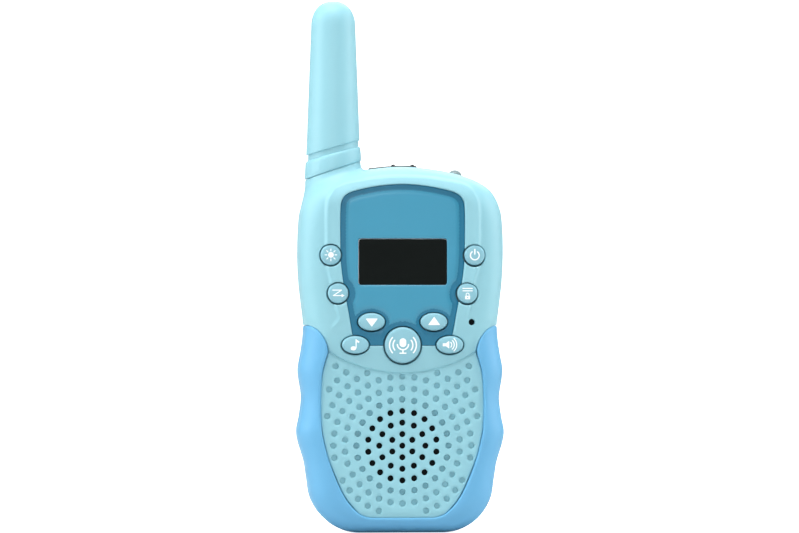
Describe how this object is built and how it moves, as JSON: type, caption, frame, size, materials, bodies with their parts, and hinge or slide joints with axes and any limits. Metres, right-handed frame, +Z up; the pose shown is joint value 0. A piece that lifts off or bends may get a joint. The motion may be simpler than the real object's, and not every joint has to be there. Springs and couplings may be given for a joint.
{
  "type": "toy walkie talkie",
  "caption": "Hand-held toy two-way radio with a fixed antenna, front keys, display, speaker grille, wrap-round grips, battery door and belt clip.",
  "frame": {"origin": "centre of the flat bottom that the radio stands on", "axes": "+Z up along the antenna, the front with the keys faces -Y, +X to the right seen from the front"},
  "size_m": [0.0586, 0.0323, 0.1515],
  "materials": {
    "case_cyan": "soft-touch matte",
    "grip_blue": "soft-touch matte",
    "lens_teal": "tinted, polished",
    "display_black": "dark",
    "white_plastic": "satin",
    "key_cyan": "satin",
    "silicone": "matte",
    "black_plastic": "satin",
    "circuit_green": "solder mask",
    "tinned_steel": "satin",
    "copper_wire": "enamelled",
    "black_rubber": "matte",
    "clear_plastic": "clear, slightly frosted",
    "cell_jacket": "satin printed sleeve without print",
    "red_wire": "gloss insulation",
    "speaker_paper": "pressed paper",
    "dust_cloth": "woven"
  },
  "bodies": {
    "root": {"front_case": "case_cyan", "rear_case": "case_cyan", "grip_frame": "grip_blue", "display_lens": "lens_teal", "display_glass": "display_black", "display_holder": "white_plastic", "backlight": "clear_plastic", "zebra_strip": "silicone", "keypad_mat": "silicone", "carbon_pills": "black_rubber", "main_board": "circuit_green", "shield_can": "tinned_steel", "control_chip": "black_plastic", "amplifier_chip": "black_plastic", "crystal": "tinned_steel", "capacitors": "black_plastic", "board_screws": "tinned_steel", "speaker_frame": "tinned_steel", "speaker_cone": "speaker_paper", "speaker_magnet": "tinned_steel", "speaker_cloth": "dust_cloth", "speaker_screws": "tinned_steel", "speaker_wires": "red_wire", "microphone": "tinned_steel", "mic_boot": "black_rubber", "antenna_sleeve": "case_cyan", "antenna_core": "white_plastic", "antenna_coil": "copper_wire", "antenna_lead": "copper_wire", "torch_lamp": "clear_plastic", "torch_leads": "tinned_steel", "jack_socket": "black_plastic", "battery_cells": "cell_jacket", "battery_springs": "tinned_steel", "contact_plates": "tinned_steel", "battery_wires": "red_wire", "case_screws": "tinned_steel"},
    "talk_key": {"talk_key": "key_cyan"},
    "call_key": {"call_key": "key_cyan"},
    "monitor_key": {"monitor_key": "key_cyan"},
    "down_key": {"down_key": "key_cyan"},
    "up_key": {"up_key": "key_cyan"},
    "scan_key": {"scan_key": "key_cyan"},
    "menu_key": {"menu_key": "key_cyan"},
    "lamp_key": {"lamp_key": "key_cyan"},
    "power_key": {"power_key": "key_cyan"},
    "battery_door": {"battery_door": "case_cyan", "door_screw": "tinned_steel"},
    "belt_clip": {"belt_clip": "case_cyan"},
    "jack_cover": {"jack_cover": "black_rubber"}
  },
  "joints": [
    {"name": "talk_press", "type": "slide", "parent": "root", "child": "talk_key", "axis": [0, 1, 0], "range_m": [0, 0.0007]},
    {"name": "call_press", "type": "slide", "parent": "root", "child": "call_key", "axis": [0, 1, 0], "range_m": [0, 0.0007]},
    {"name": "monitor_press", "type": "slide", "parent": "root", "child": "monitor_key", "axis": [0, 1, 0], "range_m": [0, 0.0007]},
    {"name": "down_press", "type": "slide", "parent": "root", "child": "down_key", "axis": [0, 1, 0], "range_m": [0, 0.0007]},
    {"name": "up_press", "type": "slide", "parent": "root", "child": "up_key", "axis": [0, 1, 0], "range_m": [0, 0.0007]},
    {"name": "scan_press", "type": "slide", "parent": "root", "child": "scan_key", "axis": [0, 1, 0], "range_m": [0, 0.0007]},
    {"name": "menu_press", "type": "slide", "parent": "root", "child": "menu_key", "axis": [0, 1, 0], "range_m": [0, 0.0007]},
    {"name": "lamp_press", "type": "slide", "parent": "root", "child": "lamp_key", "axis": [0, 1, 0], "range_m": [0, 0.0007]},
    {"name": "power_press", "type": "slide", "parent": "root", "child": "power_key", "axis": [0, 1, 0], "range_m": [0, 0.0007]},
    {"name": "door_hinge", "type": "hinge", "parent": "root", "child": "battery_door", "pos_m": [0, 0.01185, 0.01075], "axis": [-1, 0, 0], "range_deg": [0, 75]},
    {"name": "clip_slide", "type": "slide", "parent": "root", "child": "belt_clip", "axis": [0, 0, 1], "range_m": [0, 0.012]},
    {"name": "cover_hinge", "type": "hinge", "parent": "root", "child": "jack_cover", "pos_m": [-0.0084, 0, 0.10345], "axis": [0, -1, 0], "range_deg": [0, 85]}
  ]
}
